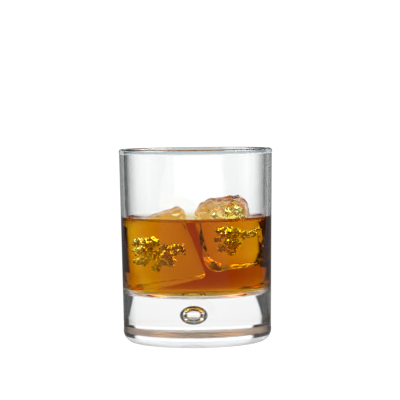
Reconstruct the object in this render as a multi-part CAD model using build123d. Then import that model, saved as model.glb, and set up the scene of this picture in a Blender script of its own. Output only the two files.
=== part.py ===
from build123d import *
import os

# Old-fashioned whiskey tumbler, poured and iced. Millimetres, +Z up, the origin is on the
# tumbler's axis at the plane it stands on. -Y is the front.

# Tumbler
height = 105.0
wall_radius_top = 41.5        # outside of the wall just under the lip
wall_radius_heel = 40.1       # outside of the wall just above the heel
heel_height = 8.0             # where the rounded heel runs into the wall
heel_bulge = (0.74, 0.26)     # a point of the heel's arc, as shares of its width and height
foot_radius = 33.5            # flat ring that the tumbler stands on
wall_thickness_top = 2.2
lip_radius = 1.3              # round bead of the drinking edge
crown_reach = 0.82            # how far out the bead's crown reaches, as a share of its radius
crown_drop = 0.55             # how far the crown's ends lie below its top

# Bowl inside the tumbler: straight wall, large round corner, flat floor
floor_height = 25.5
floor_radius = 24.0
bowl_corner_radius = 14.0
bowl_wall_radius = floor_radius + bowl_corner_radius
bowl_wall_height = floor_height + bowl_corner_radius

# Hollow under the foot, which leaves a ring to stand on
punt_radius = 29.0
punt_depth = 0.7
punt_bulge = (0.6, 0.7)       # a point of the hollow's arc, as shares of its radius and depth

# Sealed air bubble in the thick base
bubble_radius = 5.1
bubble_centre = (-1.3, 0.0, 15.5)

# Whiskey
pour_level = 66.2
film_gap = 0.02               # between liquid and glass
ice_gap = 0.3                 # between liquid and ice

# Ice: width, depth and height of the block, its centre, its turns about X, Y and Z, its round edges
left_block = (30.0, 31.0, 39.0)
left_centre = (-16.2, -0.5, 50.3)
left_turn = (2.0, -17.0, 3.0)
left_edge = 4.0
right_block = (28.0, 30.0, 35.0)
right_centre = (15.8, 1.0, 58.9)
right_turn = (9.0, -10.0, -5.0)
right_edge = 6.0


def revolved(outline):
    """Solid of revolution about Z from a closed outline in the X-Z plane."""
    return revolve(Plane.XZ * make_face(outline), Axis.Z)


def wall_inside(level):
    """Inside radius of the straight wall at a height above the bowl's round corner."""
    share = (level - bowl_wall_height) / (height - lip_radius - bowl_wall_height)
    rim_inside = wall_radius_top - wall_thickness_top
    return bowl_wall_radius + share * (rim_inside - bowl_wall_radius)


def heel():
    """Rounded heel from the foot ring up to the wall."""
    middle = (
        foot_radius + heel_bulge[0] * (wall_radius_heel - foot_radius),
        heel_bulge[1] * heel_height,
    )
    return ThreePointArc((foot_radius, 0), middle, (wall_radius_heel, heel_height))


def lip(level):
    """Rounded drinking edge, standing slightly proud of the wall on both sides."""
    inside = wall_inside(level)
    middle = (wall_radius_top + inside) / 2
    over = lip_radius * crown_reach
    crown_end = level + lip_radius - crown_drop
    outer_bulge = ThreePointArc(
        (wall_radius_top, level - lip_radius),
        (middle + lip_radius, level),
        (middle + over, crown_end),
    )
    crown = ThreePointArc(
        (middle + over, crown_end),
        (middle, level + lip_radius),
        (middle - over, crown_end),
    )
    inner_bulge = ThreePointArc(
        (middle - over, crown_end),
        (middle - lip_radius, level),
        (wall_inside(level - lip_radius), level - lip_radius),
    )
    return outer_bulge + crown + inner_bulge


def bowl_line(top, gap=0.0):
    """The bowl's outline from the wall at top down to the axis, held off the glass by gap."""
    wall = (bowl_wall_radius - gap, bowl_wall_height)
    base = floor_height + gap
    side = Line((wall_inside(top) - gap, top), wall)
    corner = RadiusArc(wall, (floor_radius, base), bowl_corner_radius - gap)
    return side + corner + Line((floor_radius, base), (0, base))


def tumbler_glass():
    """One piece of glass, with its lip, bowl and dished underside, around a sealed bubble."""
    level = height - lip_radius
    bulge = (punt_bulge[0] * punt_radius, punt_bulge[1] * punt_depth)
    underside = ThreePointArc((0, punt_depth), bulge, (punt_radius, 0))
    foot = Line((punt_radius, 0), (foot_radius, 0))
    side = Line((wall_radius_heel, heel_height), (wall_radius_top, level - lip_radius))
    axis = Line((0, floor_height), (0, punt_depth))
    outline = underside + foot + heel() + side + lip(level) + bowl_line(level - lip_radius) + axis
    bubble = Pos(*bubble_centre) * Sphere(bubble_radius)
    return revolved(outline) - bubble


def bowl_space(top, gap=0.0):
    """Space inside the tumbler from its floor up to top, held off the glass by gap."""
    lid = Polyline((0, floor_height + gap), (0, top), (wall_inside(top) - gap, top))
    return revolved(bowl_line(top, gap) + lid)


def ice_block(size, centre, turn, edge, grow=0.0):
    """A block of ice with round edges, or the same block grown all round."""
    block = Box(*(side + 2 * grow for side in size))
    block = fillet(block.edges(), edge + grow)
    return Pos(*centre) * Rot(*turn) * block


def whiskey():
    """The liquid: the bowl filled to the pour level, less the room that the ice takes."""
    liquid = bowl_space(pour_level, film_gap)
    for block in ice:
        liquid -= ice_block(*block, ice_gap)
    return liquid


ice = (
    (left_block, left_centre, left_turn, left_edge),
    (right_block, right_centre, right_turn, right_edge),
)
pieces = {
    "tumbler_glass": tumbler_glass(),
    "whiskey": whiskey(),
    "ice_cube_left": ice_block(*ice[0]),
    "ice_cube_right": ice_block(*ice[1]),
}

os.makedirs("parts", exist_ok=True)
for name, piece in pieces.items():
    export_step(piece, f"parts/{name}.step")
    print(name, "volume", round(piece.volume / 1000, 2), "cm3")
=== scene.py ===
import math
import random

import bmesh
import bpy
from mathutils import Matrix, Vector, noise


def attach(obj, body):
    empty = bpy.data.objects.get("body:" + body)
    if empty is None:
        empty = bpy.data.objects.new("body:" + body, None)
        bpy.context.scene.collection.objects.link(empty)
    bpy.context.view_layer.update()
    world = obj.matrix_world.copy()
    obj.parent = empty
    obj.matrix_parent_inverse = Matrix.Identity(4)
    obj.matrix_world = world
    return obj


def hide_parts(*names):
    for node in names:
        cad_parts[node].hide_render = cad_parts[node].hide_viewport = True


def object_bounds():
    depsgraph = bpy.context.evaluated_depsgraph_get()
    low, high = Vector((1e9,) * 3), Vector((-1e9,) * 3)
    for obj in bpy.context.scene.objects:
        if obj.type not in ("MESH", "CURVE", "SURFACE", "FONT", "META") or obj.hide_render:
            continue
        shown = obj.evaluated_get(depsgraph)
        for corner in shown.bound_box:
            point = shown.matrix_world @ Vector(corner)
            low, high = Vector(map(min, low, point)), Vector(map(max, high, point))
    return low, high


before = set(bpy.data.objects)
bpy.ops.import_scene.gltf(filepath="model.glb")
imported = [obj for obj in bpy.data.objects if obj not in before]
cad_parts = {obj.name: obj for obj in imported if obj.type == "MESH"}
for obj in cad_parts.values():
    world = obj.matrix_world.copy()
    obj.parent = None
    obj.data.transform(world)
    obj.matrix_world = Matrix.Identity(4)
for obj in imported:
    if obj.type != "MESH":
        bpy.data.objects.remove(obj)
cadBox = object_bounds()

mm = 0.001
weld = 0.001 * mm  # points closer than this are one
sliver = 0.0001 * mm  # edges shorter than this are dropped


# a curve through three points of an outline, as count + 1 points
def bend(start, middle, end, count):
    (ax, ay), (bx, by), (cx, cy) = start, middle, end
    d = 2 * (ax * (by - cy) + bx * (cy - ay) + cx * (ay - by))
    a2, b2, c2 = ax * ax + ay * ay, bx * bx + by * by, cx * cx + cy * cy
    ox = (a2 * (by - cy) + b2 * (cy - ay) + c2 * (ay - by)) / d
    oy = (a2 * (cx - bx) + b2 * (ax - cx) + c2 * (bx - ax)) / d
    radius = math.hypot(ax - ox, ay - oy)
    first = math.atan2(ay - oy, ax - ox)
    through = (math.atan2(by - oy, bx - ox) - first) % math.tau
    last = (math.atan2(cy - oy, cx - ox) - first) % math.tau
    if through > last:
        last -= math.tau
    steps = [first + last * i / count for i in range(count + 1)]
    return [(ox + radius * math.cos(a), oy + radius * math.sin(a)) for a in steps]


# count points along a straight run, without its last point
def run(start, end, count):
    return [
        (start[0] + (end[0] - start[0]) * i / count, start[1] + (end[1] - start[1]) * i / count)
        for i in range(count)
    ]


def meshObject(name, mesh):
    thing = bpy.data.objects.new(name, mesh)
    bpy.context.scene.collection.objects.link(thing)
    return thing


def newTree(name, inputs):
    tree = bpy.data.node_groups.new(name, "GeometryNodeTree")
    tree.interface.new_socket(name="Geometry", in_out="INPUT", socket_type="NodeSocketGeometry")
    tree.interface.new_socket(name="Geometry", in_out="OUTPUT", socket_type="NodeSocketGeometry")
    for label, kind in inputs:
        tree.interface.new_socket(name=label, in_out="INPUT", socket_type="NodeSocket" + kind)
    return tree, tree.nodes.new("NodeGroupInput"), tree.nodes.new("NodeGroupOutput")


# a node with its sockets filled: i0, i1 are sockets by number, the rest are by name
def addNode(tree, kind, settings=None, **links):
    node = tree.nodes.new(kind)
    for key, value in (settings or {}).items():
        setattr(node, key, value)
    for key, value in links.items():
        byNumber = key[0] == "i" and key[1:].isdigit()
        socket = node.inputs[int(key[1:]) if byNumber else key.replace("_", " ")]
        if isinstance(value, bpy.types.NodeSocket):
            tree.links.new(value, socket)
        else:
            socket.default_value = value
    return node


def calc(tree, operation, a, b=0.0):
    return addNode(tree, "ShaderNodeMath", {"operation": operation}, i0=a, i1=b).outputs[0]


# keeps what a modifier made as the object's own mesh
def makeReal(thing, modifier):
    graph = bpy.context.evaluated_depsgraph_get()
    made = bpy.data.meshes.new_from_object(thing.evaluated_get(graph))
    thing.modifiers.remove(modifier)
    thing.data = made


# runs a tree on an object and keeps the result as a plain mesh
def applyTree(thing, tree, values):
    modifier = thing.modifiers.new("shape", "NODES")
    modifier.node_group = tree
    for item in tree.interface.items_tree:
        if item.item_type == "SOCKET" and item.in_out == "INPUT" and item.name in values:
            modifier[item.identifier] = values[item.name]
    makeReal(thing, modifier)


# each point of an outline is marked with its surface, and a face has the mark that all its corners share
marks = {"wet": 1.0, "dry": 0.0, "foot": -1.0, "lip": -2.0, "slack": 0.25}


# turns an outline of (radius, height) points round the Z axis; the marks pick the materials
def buildTurningTree():
    tree, start, end = newTree("turned shape", [
        ("Turns", "Int"),
        ("Dry Material", "Material"),
        ("Wet Material", "Material"),
        ("Foot Material", "Material"),
        ("Lip Material", "Material"),
    ])
    outline = start.outputs["Geometry"]
    size = addNode(tree, "GeometryNodeAttributeDomainSize", {"component": "MESH"}, Geometry=outline)
    count = size.outputs["Point Count"]
    around = calc(tree, "ADD", start.outputs["Turns"], 1.0)
    grid = addNode(tree, "GeometryNodeMeshGrid", None, Vertices_X=count, Vertices_Y=around)
    index = addNode(tree, "GeometryNodeInputIndex").outputs[0]
    along = calc(tree, "FLOOR", calc(tree, "DIVIDE", index, around))
    across = calc(tree, "SUBTRACT", index, calc(tree, "MULTIPLY", along, around))
    angle = calc(tree, "MULTIPLY", calc(tree, "DIVIDE", across, start.outputs["Turns"]), math.tau)
    place = addNode(tree, "GeometryNodeInputPosition").outputs[0]
    picked = addNode(tree, "GeometryNodeSampleIndex", {"data_type": "FLOAT_VECTOR", "domain": "POINT"},
                     Geometry=outline, Value=place, Index=along).outputs[0]
    split = addNode(tree, "ShaderNodeSeparateXYZ", None, i0=picked)
    radius, level = split.outputs[0], split.outputs[2]
    x = calc(tree, "MULTIPLY", radius, calc(tree, "COSINE", angle))
    y = calc(tree, "MULTIPLY", radius, calc(tree, "SINE", angle))
    spot = addNode(tree, "ShaderNodeCombineXYZ", None, X=x, Y=y, Z=level).outputs[0]
    wetIn = addNode(tree, "GeometryNodeInputNamedAttribute", {"data_type": "FLOAT"}, Name="wet").outputs[0]
    wet = addNode(tree, "GeometryNodeSampleIndex", {"data_type": "FLOAT", "domain": "POINT"},
                  Geometry=outline, Value=wetIn, Index=along).outputs[0]
    marked = addNode(tree, "GeometryNodeStoreNamedAttribute", {"data_type": "FLOAT", "domain": "POINT"},
                     Geometry=grid.outputs["Mesh"], Name="wet", Value=wet).outputs[0]
    moved = addNode(tree, "GeometryNodeSetPosition", None, Geometry=marked, Position=spot).outputs[0]
    closed = addNode(tree, "GeometryNodeMergeByDistance", None,
                     Geometry=moved, Distance=2 * weld).outputs[0]
    smooth = addNode(tree, "GeometryNodeSetShadeSmooth", None, Geometry=closed).outputs[0]
    wetOut = addNode(tree, "GeometryNodeInputNamedAttribute", {"data_type": "FLOAT"},
                     Name="wet").outputs[0]
    faceWet = addNode(tree, "GeometryNodeStoreNamedAttribute", {"data_type": "FLOAT", "domain": "FACE"},
                      Geometry=smooth, Name="skin", Value=wetOut).outputs[0]
    under = calc(tree, "GREATER_THAN", wetOut, marks["wet"] - marks["slack"])
    foot = addNode(tree, "ShaderNodeMath", {"operation": "COMPARE"},
                   i0=wetOut, i1=marks["foot"], i2=marks["slack"]).outputs[0]
    lip = calc(tree, "LESS_THAN", wetOut, marks["lip"] + marks["slack"])
    shape = addNode(tree, "GeometryNodeRealizeInstances", None, Geometry=faceWet).outputs[0]
    for label, where in (("Dry", True), ("Wet", under), ("Foot", foot), ("Lip", lip)):
        shape = addNode(tree, "GeometryNodeSetMaterial", None, Geometry=shape, Selection=where,
                        Material=start.outputs[label + " Material"]).outputs[0]
    tree.links.new(shape, end.inputs["Geometry"])
    return tree


def turned(name, outline, wet, turns, materials):
    mesh = bpy.data.meshes.new(name)
    points = [(r * mm, 0, z * mm) for r, z in outline]
    mesh.from_pydata(points, [(i, i + 1) for i in range(len(points) - 1)], [])
    mesh.attributes.new("wet", "FLOAT", "POINT").data.foreach_set("value", wet)
    thing = meshObject(name, mesh)
    applyTree(thing, turningTree, {"Turns": turns, **materials})
    return thing


# merges doubles and turns the faces outwards, or inwards for a hollow
def tidyMesh(thing, inward=False):
    shape = bmesh.new()
    shape.from_mesh(thing.data)
    bmesh.ops.remove_doubles(shape, verts=shape.verts, dist=weld)
    bmesh.ops.dissolve_degenerate(shape, edges=shape.edges, dist=sliver)
    if (shape.calc_volume(signed=True) < 0) != inward:
        bmesh.ops.reverse_faces(shape, faces=shape.faces)
    shape.to_mesh(thing.data)
    shape.free()


turningTree = buildTurningTree()


def clearMaterial(name, ior, tint=(1, 1, 1)):
    material = bpy.data.materials.new(name)
    material.use_nodes = True
    shader = material.node_tree.nodes["Principled BSDF"]
    shader.inputs["Base Color"].default_value = (*tint, 1)
    shader.inputs["Roughness"].default_value = 0.0
    shader.inputs["IOR"].default_value = ior
    shader.inputs["Transmission Weight"].default_value = 1.0
    return material


# how each surface bends and colours the light; at edge and bubbleEdge the darker tint of painted shade on
# the glass and the bubble sets in and is full, and bubbleClear, rub and film take one range (the first two)
# to another (the last two)
finish = {
    "glassIor": 1.5,
    "whiskeyIor": 1.36,
    "iceIor": 1.31,
    "wetIceIor": 1.06,
    "airIor": 1.5,
    "glassTint": (0.992, 0.996, 0.996),
    # the dark tint painted on the glass towards its outline, as painted shade
    "paintedEdgeShade": (0.1, 0.11, 0.105),
    "edge": (0.44, 0.72),
    # the near-black tint painted on the bubble's outline, as painted shade
    "paintedBubbleShade": (0.03, 0.03, 0.03),
    "bubbleEdge": (0.25, 0.45),
    "bubbleClear": (0.2, 0.42, 1.0, 0.12),
    "footTint": (0.9, 0.93, 0.94),
    "footClear": 0.35,
    "rubScale": 260.0,
    "rubDetail": 5.0,
    "rub": (0.35, 0.7, 0.04, 0.3),
    # grey painted shade for the lip
    "paintedLipShade": (0.56, 0.62, 0.64),
    "whiskeyPass": (0.96, 0.883, 0.4),
    "whiskeyDensity": 400.0,
    "filmTint": (0.98, 0.88, 0.22),
    "filmScale": 90.0,
    "film": (0.38, 0.48, 0.0, 1.0),
    # dark painted shade for the air pockets
    "paintedAirShade": (0.42, 0.4, 0.33),
}


# takes a value from one range, start to end, to another, low to high
def mapRange(tree, value, start, end, low, high, kind="LINEAR", clamp=True):
    node = tree.nodes.new("ShaderNodeMapRange")
    node.interpolation_type = kind
    node.clamp = clamp
    for name, amount in zip(("From Min", "From Max", "To Min", "To Max"), (start, end, low, high)):
        node.inputs[name].default_value = amount
    tree.links.new(value, node.inputs["Value"])
    return node.outputs[0]


# paints shade into a glass: darkens it from its own tint to another towards its outline, and gives back how
# edge-on it is
def shadeEdge(material, tint, ends):
    nodes, links = material.node_tree.nodes, material.node_tree.links
    edge = nodes.new("ShaderNodeLayerWeight").outputs["Facing"]
    shade = nodes.new("ShaderNodeValToRGB")
    for stop, place, colour in zip(shade.color_ramp.elements, ends, (finish["glassTint"], tint)):
        stop.position = place
        stop.color = (*colour, 1)
    links.new(edge, shade.inputs[0])
    links.new(shade.outputs[0], nodes["Principled BSDF"].inputs["Base Color"])
    return edge


# the clear glass gets painted shade: its tint darkens towards its outline, standing in for the dark edges
# its surroundings give it
def glassMaterial():
    material = clearMaterial("clear glass", finish["glassIor"], finish["glassTint"])
    shadeEdge(material, finish["paintedEdgeShade"], finish["edge"])
    return material


# the bubble gets painted shade towards its outline: a dark tint, with less light let through, where the
# glass turns the light back
def bubbleMaterial():
    material = clearMaterial("glass round the bubble", finish["glassIor"], finish["glassTint"])
    tree = material.node_tree
    edge = shadeEdge(material, finish["paintedBubbleShade"], finish["bubbleEdge"])
    clear = mapRange(tree, edge, *finish["bubbleClear"])
    tree.links.new(clear, tree.nodes["Principled BSDF"].inputs["Transmission Weight"])
    return material


clearGlass = glassMaterial()
bubbleGlass = bubbleMaterial()
# the lip is tinted grey as painted shade, standing in for the grey band that the light gives the thick rim
lipGlass = clearMaterial("lip glass with painted grey shade", finish["glassIor"], finish["paintedLipShade"])
wetGlass = clearMaterial("glass against whiskey", finish["glassIor"] / finish["whiskeyIor"])


# noise on an object's own coordinates
def patches(tree, scale, detail=2.0):
    noiseNode = tree.nodes.new("ShaderNodeTexNoise")
    noiseNode.inputs["Scale"].default_value = scale
    noiseNode.inputs["Detail"].default_value = detail
    tree.links.new(tree.nodes.new("ShaderNodeTexCoord").outputs["Object"], noiseNode.inputs["Vector"])
    return noiseNode.outputs[0]


# the heel and the ring that the tumbler stands on are rubbed dull in patches
def wornMaterial():
    material = clearMaterial("rubbed glass foot", finish["glassIor"], finish["footTint"])
    tree = material.node_tree
    shader = tree.nodes["Principled BSDF"]
    dull = mapRange(tree, patches(tree, finish["rubScale"], finish["rubDetail"]), *finish["rub"])
    tree.links.new(dull, shader.inputs["Roughness"])
    shader.inputs["Transmission Weight"].default_value = finish["footClear"]
    return material


def whiskeyMaterial():
    material = clearMaterial("amber whiskey", finish["whiskeyIor"])
    tree = material.node_tree
    skin = tree.nodes.new("ShaderNodeAttribute")
    skin.attribute_name = "skin"
    # 1 where it meets glass or ice, the liquid's own bending at the air
    bendBy = mapRange(tree, skin.outputs["Fac"], 0.0, 1.0, 1.0, finish["whiskeyIor"])
    tree.links.new(bendBy, tree.nodes["Principled BSDF"].inputs["IOR"])
    depth = tree.nodes.new("ShaderNodeVolumeAbsorption")
    depth.inputs["Color"].default_value = (*finish["whiskeyPass"], 1)
    depth.inputs["Density"].default_value = finish["whiskeyDensity"]
    tree.links.new(depth.outputs[0], tree.nodes["Material Output"].inputs["Volume"])
    return material


def iceMaterial():
    material = clearMaterial("clear ice", finish["iceIor"])
    tree = material.node_tree
    shader = tree.nodes["Principled BSDF"]
    under = tree.nodes.new("ShaderNodeAttribute")
    under.attribute_name = "under"
    soaked = under.outputs["Fac"]
    bendBy = mapRange(tree, soaked, 0.0, 1.0, finish["iceIor"], finish["wetIceIor"], clamp=False)
    tree.links.new(bendBy, shader.inputs["IOR"])
    # above the drink a thin film of it runs down the ice
    film = mapRange(tree, patches(tree, finish["filmScale"]), *finish["film"])
    dry = calc(tree, "SUBTRACT", film, soaked)
    dry.node.use_clamp = True
    stain = addNode(tree, "ShaderNodeMix", {"data_type": "RGBA"},
                    i0=dry, i6=(1, 1, 1, 1), i7=(*finish["filmTint"], 1))
    tree.links.new(stain.outputs[2], shader.inputs["Base Color"])
    return material


wornGlass = wornMaterial()
amberWhiskey = whiskeyMaterial()
clearIce = iceMaterial()
# the air pockets are tinted dark as painted shade, so the light through them is darker and their outlines
# stand out
airInIce = clearMaterial("air in the ice", finish["airIor"], finish["paintedAirShade"])
print("stage: materials ready")


tumblerSize = {
    "height": 105.0,
    "wallTop": 41.5,
    "wallHeel": 40.1,
    "heelHeight": 8.0,
    "heelBulge": (0.74, 0.26),
    "foot": 33.5,
    "wall": 2.2,
    "lip": 1.3,
    "crownReach": 0.82,
    "crownDrop": 0.55,
    "shoulder": 0.4,
    "floor": 25.5,
    "floorRadius": 24.0,
    "bowlCorner": 14.0,
    "punt": 29.0,
    "puntDepth": 0.7,
    "puntBulge": (0.6, 0.7),
    "wear": 4.2,
    "wearInside": 0.9,
    "bubble": 5.1,
    "bubbleAt": (-1.3, 0.0, 15.5),
    "turns": 256,
}
# how many steps each run of the outline has, from the hollow under the foot round to the bowl's floor
outlineSteps = {
    "punt": 16,
    "foot": 4,
    "heel": 20,
    "wall": 24,
    "shoulder": 2,
    "bulge": 8,
    "crown": 12,
    "dryWall": 12,
    "wetWall": 14,
    "corner": 48,
    "floor": 6,
}
pour = {
    "level": 66.2,
    "film": 0.02,
    "climb": 2.2,
    "climbWidth": 2.4,
    "climbFrom": 6.0,
    "climbBunch": 1.6,
    "climbSteps": 24,
    "stillRings": (8.0, 16.0, 24.0, 30.0),
    "iceGap": 0.02,
}


def wallInside(level):
    t = tumblerSize
    low = t["floor"] + t["bowlCorner"]
    share = (level - low) / (t["height"] - t["lip"] - low)
    bowl = t["floorRadius"] + t["bowlCorner"]
    return bowl + share * (t["wallTop"] - t["wall"] - bowl)


# the bowl from a height on the wall down to the axis
def bowlLine(top, gap=0.0):
    t, steps = tumblerSize, outlineSteps
    low, base = t["floor"] + t["bowlCorner"], t["floor"] + gap
    wallR = t["floorRadius"] + t["bowlCorner"] - gap
    line = run((wallInside(top) - gap, top), (wallR, low), steps["wetWall"])
    radius = t["bowlCorner"] - gap
    half = radius * math.sqrt(0.5)
    middle = (t["floorRadius"] + half, low - half)
    line += bend((wallR, low), middle, (t["floorRadius"], base), steps["corner"])[:-1]
    return line + run((t["floorRadius"], base), (0, base), steps["floor"]) + [(0, base)]


# the glass from the middle of its underside, up the outside, over the lip and down the bowl
def tumblerOutline():
    t, steps = tumblerSize, outlineSteps
    level = t["height"] - t["lip"]
    neck = level - t["lip"]
    shoulder = neck - t["shoulder"]
    middle = t["wallTop"] - t["wall"] / 2
    over, crown = t["crownReach"] * t["lip"], level + (t["lip"] - t["crownDrop"])
    punt, foot = (t["punt"], 0), (t["foot"], 0)
    heel = (t["wallHeel"], t["heelHeight"])
    puntMiddle = (t["puntBulge"][0] * t["punt"], t["puntBulge"][1] * t["puntDepth"])
    heelOut = t["wallHeel"] - t["foot"]
    heelMiddle = (t["foot"] + t["heelBulge"][0] * heelOut, t["heelBulge"][1] * t["heelHeight"])
    outerCrown, innerCrown = (middle + over, crown), (middle - over, crown)
    inner = (wallInside(neck), neck)
    contact = pour["level"] + pour["climb"]
    line = bend((0, t["puntDepth"]), puntMiddle, punt, steps["punt"])[:-1]
    line += run(punt, foot, steps["foot"])
    line += bend(foot, heelMiddle, heel, steps["heel"])[:-1]
    line += run(heel, (t["wallTop"], shoulder), steps["wall"])
    line += run((t["wallTop"], shoulder), (t["wallTop"], neck), steps["shoulder"])
    line += bend((t["wallTop"], neck), (middle + t["lip"], level), outerCrown, steps["bulge"])[:-1]
    line += bend(outerCrown, (middle, level + t["lip"]), innerCrown, steps["crown"])[:-1]
    line += bend(innerCrown, (middle - t["lip"], level), inner, steps["bulge"])[:-1]
    line += run(inner, (wallInside(shoulder), shoulder), steps["shoulder"])
    line += run((wallInside(shoulder), shoulder), (wallInside(contact), contact), steps["dryWall"])
    surfaces = []
    for radius, height in line:
        rubbed = height < t["wear"] and radius > t["wearInside"] * t["punt"]
        dry = "lip" if height > neck else "dry"
        surfaces.append(marks["foot" if rubbed else dry])
    bowl = bowlLine(contact)
    return line + bowl, surfaces + [marks["wet"]] * len(bowl)


def makeTumbler():
    outline, wet = tumblerOutline()
    thing = turned("tumbler_glass_clear", outline, wet, tumblerSize["turns"], {
        "Dry Material": clearGlass,
        "Wet Material": wetGlass,
        "Foot Material": wornGlass,
        "Lip Material": lipGlass,
    })
    tidyMesh(thing)
    thing.data.materials.append(bubbleGlass)
    hollow = bmesh.new()
    hollow.from_mesh(thing.data)
    around = tumblerSize["turns"] // 2
    made = bmesh.ops.create_uvsphere(
        hollow, u_segments=around, v_segments=around // 2, radius=tumblerSize["bubble"] * mm,
        matrix=Matrix.Translation(Vector(tumblerSize["bubbleAt"]) * mm))
    faces = {face for vert in made["verts"] for face in vert.link_faces}
    bmesh.ops.reverse_faces(hollow, faces=list(faces))
    for face in faces:
        face.smooth = True
        face.material_index = thing.data.materials.find(bubbleGlass.name)
    hollow.to_mesh(thing.data)
    hollow.free()
    return thing


tumbler = makeTumbler()
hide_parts("tumbler_glass")
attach(tumbler, "tumbler")
print("stage: tumbler turned,", len(tumbler.data.polygons), "faces", tumbler.data.materials.keys())


# size, centre and turn of a block as it lies, the round of its edges, how far it takes the drink's
# bending below the level (soak, and soakBelow on its underside), and the air frozen into it: lumps are
# pockets, each as x, y, z from the block's centre, half width and half height
leftIce = {
    "name": "ice_cube_left_clear",
    "node": "ice_cube_left",
    "body": "left_ice",
    "size": (30.0, 31.0, 39.0),
    "centre": (-16.2, -0.5, 50.3),
    "turn": (2.0, -17.0, 3.0),
    "round": 3.2,
    "seed": 4,
    "soak": 1.13,
    "soakBelow": 1.08,
    "lumps": (
        (-7.6, -6.0, 2.2, 5.4, 4.9),
        (-3.4, -7.0, 4.6, 3.6, 3.0),
        (2.8, -6.5, -2.8, 4.4, 6.8),
        (7.6, -7.0, 0.8, 3.4, 2.9),
        (-7.9, -5.0, -5.6, 4.6, 2.4),
        (-2.2, -6.0, -2.8, 3.0, 3.4),
        (-1.0, -6.0, -9.0, 2.2, 2.2),
        (-4.2, -7.0, 16.4, 1.4, 0.8),
        (10.6, 0.0, 2.6, 1.0, 1.4),
        (11.2, 1.0, -1.4, 0.8, 1.0),
    ),
    "beads": (0.3, 0.56),
    "crinkle": 1.5,
}
rightIce = {
    "name": "ice_cube_right_clear",
    "node": "ice_cube_right",
    "body": "right_ice",
    "size": (28.0, 30.0, 35.0),
    "centre": (15.8, 1.0, 58.9),
    "turn": (9.0, -10.0, -5.0),
    "round": 6.0,
    "seed": 9,
    "soak": 1.1,
    "soakBelow": 0.92,
    "lumps": (
        (-1.4, -7.0, 0.4, 5.8, 4.4),
        (-0.4, -7.5, -4.4, 4.6, 3.8),
        (-0.5, -7.0, -9.4, 2.3, 2.3),
        (-4.8, -7.0, -7.0, 2.3, 2.3),
        (5.6, -6.5, -0.6, 2.6, 2.4),
        (8.6, -6.0, 0.2, 2.2, 2.0),
        (10.4, -5.0, 2.2, 1.7, 1.7),
        (-6.4, -7.0, 2.0, 1.7, 1.7),
        (-6.6, -7.0, -2.6, 1.7, 1.7),
        (1.1, -9.5, 11.0, 2.6, 2.0),
        (-3.0, -8.0, 13.6, 2.2, 1.2),
        (-5.6, -9.5, 9.6, 1.5, 1.4),
        (5.8, -8.0, 11.6, 2.0, 1.5),
        (7.6, -8.5, 8.6, 2.2, 1.2),
        (-8.6, -6.0, 11.0, 1.4, 1.0),
    ),
    "beads": (0.26, 0.46),
    "crinkle": 1.2,
}


# how uneven the blocks are: heights in mm, below the drink and added above it, with how fast each varies
unevenIce = {
    "cuts": 47,
    "bunch": 1.5,
    "swell": 0.35,
    "swellPace": 0.11,
    "wave": 0.14,
    "waveAbove": 0.8,
    "wavePace": 0.3,
    "ripple": 0.05,
    "rippleAbove": 0.32,
    "ripplePace": 0.8,
    "aboveFrom": 1.0,
    "underside": -0.35,
}


def turnOf(block):
    x, y, z = (math.radians(a) for a in block["turn"])
    return Matrix.Rotation(x, 4, "X") @ Matrix.Rotation(y, 4, "Y") @ Matrix.Rotation(z, 4, "Z")


def iceShape(block, grow=0.0):
    u = unevenIce
    half = Vector(block["size"]) / 2
    edge = block["round"]
    place = Matrix.Translation(Vector(block["centre"])) @ turnOf(block)
    shape = bmesh.new()
    bmesh.ops.create_cube(shape, size=2.0)
    bmesh.ops.subdivide_edges(shape, edges=shape.edges, cuts=u["cuts"], use_grid_fill=True)
    for vert in shape.verts:
        # a denser net near the edges, so that the round ones are smooth
        spot = Vector(math.copysign(1 - (1 - abs(c)) ** u["bunch"], c) if abs(c) < 1 else c for c in vert.co)
        spot = Vector(c * h for c, h in zip(spot, half))
        inner = Vector(max(-(h - edge), min(h - edge, c)) for c, h in zip(spot, half))
        out = (spot - inner).normalized()
        spot = inner + out * edge
        start = Vector((block["seed"], 0, 0))
        swell = u["swell"] * noise.noise(spot * u["swellPace"] + start)
        above = min(1.0, max(0.0, (place @ spot).z - pour["level"] - u["aboveFrom"]))
        ripple = (u["wave"] + u["waveAbove"] * above) * noise.noise(spot * u["wavePace"] + start)
        ripple += (u["ripple"] + u["rippleAbove"] * above) * noise.noise(spot * u["ripplePace"] + start)
        spot += out * (swell + ripple + grow)
        vert.co = (place @ spot) * mm
    bmesh.ops.recalc_face_normals(shape, faces=shape.faces)
    for face in shape.faces:
        face.smooth = True
    return shape


air = {
    "grain": 0.28,
    "threshold": 0.1,
    "crinkleScale": 420.0,
    "crinkleDetail": 1.0,
    "fewest": 10,
    "more": 5,
    "spread": 0.68,
    "depth": 0.5,
}


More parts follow.
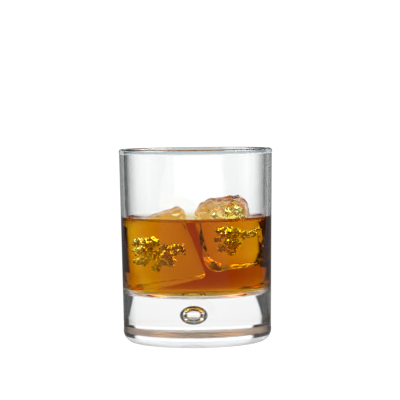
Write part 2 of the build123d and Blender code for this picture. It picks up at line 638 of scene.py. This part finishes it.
# air trapped in the ice: beads melted into one crinkled skin
def buildAirTree():
    tree, start, end = newTree("trapped air", [
        ("Grain", "Float"),
        ("Threshold", "Float"),
        ("Crinkle", "Float"),
        ("Material", "Material"),
    ])
    thick = addNode(tree, "GeometryNodeInputNamedAttribute", {"data_type": "FLOAT"},
                    Name="thick").outputs[0]
    dots = addNode(tree, "GeometryNodeMeshToPoints", None,
                   Mesh=start.outputs["Geometry"], Radius=thick).outputs[0]
    cloud = addNode(tree, "GeometryNodePointsToVolume", {"resolution_mode": "VOXEL_SIZE"}, Points=dots,
                    Voxel_Size=start.outputs["Grain"], Radius=thick).outputs[0]
    skin = addNode(tree, "GeometryNodeVolumeToMesh", {"resolution_mode": "VOXEL_SIZE"}, Volume=cloud,
                   Voxel_Size=start.outputs["Grain"], Threshold=start.outputs["Threshold"]).outputs[0]
    rough = addNode(tree, "ShaderNodeTexNoise", {"noise_dimensions": "3D"},
                    Scale=air["crinkleScale"], Detail=air["crinkleDetail"]).outputs[0]
    push = calc(tree, "MULTIPLY", calc(tree, "SUBTRACT", rough, 0.5), start.outputs["Crinkle"])
    out = addNode(tree, "ShaderNodeVectorMath", {"operation": "SCALE"},
                  i0=addNode(tree, "GeometryNodeInputNormal").outputs[0], Scale=push).outputs[0]
    folded = addNode(tree, "GeometryNodeSetPosition", None, Geometry=skin, Offset=out).outputs[0]
    smooth = addNode(tree, "GeometryNodeSetShadeSmooth", None, Geometry=folded).outputs[0]
    real = addNode(tree, "GeometryNodeRealizeInstances", None, Geometry=smooth).outputs[0]
    done = addNode(tree, "GeometryNodeSetMaterial", None,
                   Geometry=real, Material=start.outputs["Material"]).outputs[0]
    tree.links.new(done, end.inputs["Geometry"])
    return tree


airTree = buildAirTree()


# a pocket of air is a shell of beads melted together
def airBeads(block, dice):
    beads = []
    for x, y, z, wide, high in block["lumps"]:
        small = min(wide, high)
        for i in range(round(air["fewest"] + air["more"] * wide * high / small)):
            out = Vector(dice.gauss(0, 1) for axis in range(3)).normalized()
            spot = Vector((
                x + air["spread"] * wide * out.x,
                y + air["depth"] * small * out.y,
                z + air["spread"] * high * out.z,
            ))
            beads.append((spot, small * dice.uniform(*block["beads"])))
    return beads


def airSkin(block):
    dice = random.Random(block["seed"])
    centre = Vector(block["centre"])
    beads = airBeads(block, dice)
    mesh = bpy.data.meshes.new("air")
    mesh.from_pydata([(centre + spot) * mm for spot, thick in beads], [], [])
    thickness = [thick * mm for spot, thick in beads]
    mesh.attributes.new("thick", "FLOAT", "POINT").data.foreach_set("value", thickness)
    thing = meshObject("air", mesh)
    applyTree(thing, airTree, {
        "Grain": air["grain"] * mm,
        "Threshold": air["threshold"],
        "Crinkle": block["crinkle"] * mm,
        "Material": airInIce,
    })
    tidyMesh(thing, inward=True)
    return thing


def makeIce(block):
    shape = iceShape(block)
    mesh = bpy.data.meshes.new(block["name"])
    shape.to_mesh(mesh)
    shape.free()
    mesh.materials.append(clearIce)
    under = mesh.attributes.new("under", "FLOAT", "POINT")
    for i, vert in enumerate(mesh.vertices):
        soak = block["soakBelow"] if vert.normal.z < unevenIce["underside"] else block["soak"]
        under.data[i].value = soak if vert.co.z < pour["level"] * mm else 0.0
    thing = meshObject(block["name"], mesh)
    pockets = airSkin(block)
    bpy.context.view_layer.objects.active = thing
    thing.select_set(True)
    pockets.select_set(True)
    with bpy.context.temp_override(active_object=thing, selected_editable_objects=[thing, pockets]):
        bpy.ops.object.join()
    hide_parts(block["node"])
    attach(thing, block["body"])
    return thing


iceBlocks = [leftIce, rightIce]
for block in iceBlocks:
    frozen = makeIce(block)
    print("stage: ice frozen,", frozen.name, len(frozen.data.polygons), "faces")


# the drink from the bowl's floor up the wall and in over its surface, which climbs a little at the glass;
# its skin is 1 at the air and 0 at the glass
def whiskeyOutline():
    contact = pour["level"] + pour["climb"]
    edgeR = wallInside(contact) - pour["film"]
    line = [(0.0, pour["level"])]
    line += [(r, pour["level"]) for r in pour["stillRings"]]
    for i in range(pour["climbSteps"] + 1):
        away = pour["climbFrom"] * (1 - i / pour["climbSteps"]) ** pour["climbBunch"]
        line.append((edgeR - away, pour["level"] + pour["climb"] * math.exp(-away / pour["climbWidth"])))
    surface = len(line)
    line += bowlLine(contact, pour["film"])[1:]
    line.reverse()
    return line, [0.0] * (len(line) - surface) + [1.0] * surface


def makeWhiskey():
    outline, skin = whiskeyOutline()
    thing = turned("whiskey_fill", outline, skin, tumblerSize["turns"], {
        "Dry Material": amberWhiskey, "Wet Material": amberWhiskey})
    tidyMesh(thing)
    for block in iceBlocks:
        shape = iceShape(block, pour["iceGap"])
        mesh = bpy.data.meshes.new("room")
        shape.to_mesh(mesh)
        shape.free()
        mesh.materials.append(amberWhiskey)
        mesh.attributes.new("skin", "FLOAT", "FACE")
        room = meshObject("room", mesh)
        cut = thing.modifiers.new("room", "BOOLEAN")
        cut.operation = "DIFFERENCE"
        cut.solver = "EXACT"
        cut.object = room
        makeReal(thing, cut)
        bpy.data.objects.remove(room)
    for face in thing.data.attributes["skin"].data:
        face.value = 1.0 if face.value > 1.0 - marks["slack"] else 0.0
    return thing


whiskey = makeWhiskey()
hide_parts("whiskey")
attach(whiskey, "tumbler")
print("stage: whiskey poured,", len(whiskey.data.polygons), "faces")


# the room, in degrees of compass from straight behind the tumbler and of height from the level;
# its stops are bright, a dark flag, a grey wall and bright, and it is the same again to the front
studio = {
    "aside": 5.0,
    "stops": ((0, 1.07), (39, 1.07), (43, 0.03), (68, 0.03), (73, 0.35), (82, 0.4), (90, 0.85)),
    "brightest": 1.2,
    "lowLight": 0.88,
    "lowFrom": -5.0,
    "lowTo": -2.0,
    "slant": 13.0,
    "slantFrom": -3.9,
    "slantTo": -4.7,
    "slantEnd": -40.0,
    "slantFade": 1.0,
    "ceiling": 0.2,
    "ceilingFrom": 16.0,
    "ceilingTo": 40.0,
    "strip": 7.5,
    "stripFrom": 51.0,
    "stripTo": 62.0,
    "stripAt": 90.0,
    "stripSides": (30.0, 60.0),
    "stripBehind": 0.12,
    "boxes": 6.5,
    "boxesFrom": 24.0,
    "boxesTo": 47.0,
    "boxesAt": 95.0,
    "boxesSides": (25.0, 40.0),
    "fade": 4.0,
    "mirrored": 0.15,
    "floorLight": 1.05,
    "floorRadius": 6.0,
    "floorGap": 0.0002,
    "bounces": 40,
    "glossyBounces": 24,
}


# low where share is 0 and high where it is 1
def blendOf(tree, share, low, high):
    rest = calc(tree, "MULTIPLY", calc(tree, "SUBTRACT", 1.0, share), low)
    return calc(tree, "ADD", rest, calc(tree, "MULTIPLY", share, high))


def makeFloor():
    shape = bmesh.new()
    bmesh.ops.create_circle(shape, cap_ends=True, segments=64, radius=studio["floorRadius"])
    mesh = bpy.data.meshes.new("floor")
    shape.to_mesh(mesh)
    shape.free()
    floor = meshObject("floor", mesh)
    floor.location.z = cadBox[0][2] - studio["floorGap"]
    material = bpy.data.materials.new("pale floor")
    material.use_nodes = True
    shader = material.node_tree.nodes["Principled BSDF"]
    shader.inputs["Base Color"].default_value = (0.0, 0.0, 0.0, 1)
    shader.inputs["Specular IOR Level"].default_value = 0.0
    shader.inputs["Roughness"].default_value = 1.0
    shader.inputs["Emission Color"].default_value = (1, 1, 1, 1)
    shader.inputs["Emission Strength"].default_value = studio["floorLight"]
    mesh.materials.append(material)
    floor.visible_transmission = False
    floor.visible_glossy = False


def slope(tree, value, start, end, low, high):
    return mapRange(tree, value, start, end, low, high, "SMOOTHSTEP")


# 1 while a height is from low to high, faded out beyond both
def heightBand(tree, rise, low, high):
    above = slope(tree, rise, low - studio["fade"], low, 0.0, 1.0)
    return calc(tree, "MULTIPLY", above, slope(tree, rise, high, high + studio["fade"], 1.0, 0.0))


# how many degrees a compass angle is from the given one, on either side of the tumbler
def fromSides(tree, compass, angle):
    return calc(tree, "ABSOLUTE", calc(tree, "SUBTRACT", calc(tree, "ABSOLUTE", compass), angle))


# the light of the stops at a compass angle; below the slant the flags stand further round
def wallLight(tree, compass, rise):
    off = calc(tree, "ABSOLUTE", calc(tree, "SUBTRACT", compass, studio["aside"]))
    off = calc(tree, "SUBTRACT", 90.0, calc(tree, "ABSOLUTE", calc(tree, "SUBTRACT", off, 90.0)))
    low = slope(tree, rise, studio["slantTo"], studio["slantFrom"], studio["slant"], 0.0)
    end = studio["slantEnd"]
    low = calc(tree, "MULTIPLY", low, slope(tree, rise, end, end + studio["slantFade"], 0.0, 1.0))
    off = calc(tree, "DIVIDE", calc(tree, "SUBTRACT", off, low), 90.0)
    ramp = tree.nodes.new("ShaderNodeFloatCurve")
    tree.links.new(off, ramp.inputs["Value"])
    line = ramp.mapping.curves[0]
    points = [(angle / 90, level / studio["brightest"]) for angle, level in studio["stops"]]
    line.points[0].location = points[0]
    line.points[1].location = points[-1]
    for x, y in points[1:-1]:
        line.points.new(x, y)
    for point in line.points:
        point.handle_type = "VECTOR"
    ramp.mapping.update()
    return calc(tree, "MULTIPLY", ramp.outputs[0], studio["brightest"])


def makeWorld():
    world = bpy.data.worlds.new("soft studio")
    bpy.context.scene.world = world
    world.use_nodes = True
    tree = world.node_tree
    back = tree.nodes["Background"]
    back.inputs["Color"].default_value = (1, 1, 1, 1)
    parts = tree.nodes.new("ShaderNodeSeparateXYZ")
    tree.links.new(tree.nodes.new("ShaderNodeTexCoord").outputs["Generated"], parts.inputs[0])
    compass = calc(tree, "DEGREES", calc(tree, "ARCTAN2", parts.outputs[0], parts.outputs[1]))
    rise = calc(tree, "DEGREES", calc(tree, "ARCSINE", parts.outputs[2]))
    level = wallLight(tree, compass, rise)
    top = slope(tree, rise, studio["ceilingFrom"], studio["ceilingTo"], 1.0, studio["ceiling"])
    level = calc(tree, "MULTIPLY", level, top)
    bottom = slope(tree, rise, studio["lowFrom"], studio["lowTo"], studio["lowLight"], 1.0)
    level = calc(tree, "MULTIPLY", level, bottom)
    # surfaces mirror a dimmer room than the one that is seen through them
    path = tree.nodes.new("ShaderNodeLightPath")
    mirrored = calc(tree, "MULTIPLY", level, studio["mirrored"])
    level = blendOf(tree, path.outputs["Is Reflection Ray"], level, mirrored)
    # a bright strip high up, and a softbox lower down on each side
    sides = slope(tree, fromSides(tree, compass, studio["stripAt"]), *studio["stripSides"],
                  studio["strip"], studio["strip"] * studio["stripBehind"])
    strip = calc(tree, "MULTIPLY", sides, heightBand(tree, rise, studio["stripFrom"], studio["stripTo"]))
    level = calc(tree, "ADD", level, strip)
    box = slope(tree, fromSides(tree, compass, studio["boxesAt"]), *studio["boxesSides"],
                studio["boxes"], 0.0)
    box = calc(tree, "MULTIPLY", box, heightBand(tree, rise, studio["boxesFrom"], studio["boxesTo"]))
    level = calc(tree, "ADD", level, box)
    tree.links.new(calc(tree, "MAXIMUM", level, path.outputs["Is Camera Ray"]), back.inputs["Strength"])


view = {
    "away": 1.1,
    "high": 0.126,
    "aim": (0.0022, 0.0, 0.0769),
    "lens": 182.0,
    "sensor": 36.0,
    "farthest": 50.0,
    "roll": 0.65,
}


def makeCamera():
    data = bpy.data.cameras.new("camera")
    data.lens = view["lens"]
    data.sensor_width = view["sensor"]
    data.clip_end = view["farthest"]
    camera = bpy.data.objects.new("camera", data)
    bpy.context.scene.collection.objects.link(camera)
    camera.location = (0, -view["away"], view["high"])
    look = Vector(view["aim"]) - camera.location
    turn = look.to_track_quat("-Z", "Y").to_matrix() @ Matrix.Rotation(math.radians(-view["roll"]), 3, "Z")
    camera.rotation_euler = turn.to_euler()
    bpy.context.scene.camera = camera


makeFloor()
makeWorld()
makeCamera()
scene = bpy.context.scene
scene.view_settings.view_transform = "Standard"
scene.cycles.max_bounces = studio["bounces"]
scene.cycles.transmission_bounces = studio["bounces"]
scene.cycles.glossy_bounces = studio["glossyBounces"]
scene.cycles.transparent_max_bounces = studio["glossyBounces"]
scene.cycles.caustics_reflective = True
scene.cycles.caustics_refractive = True
print("stage: studio lit")
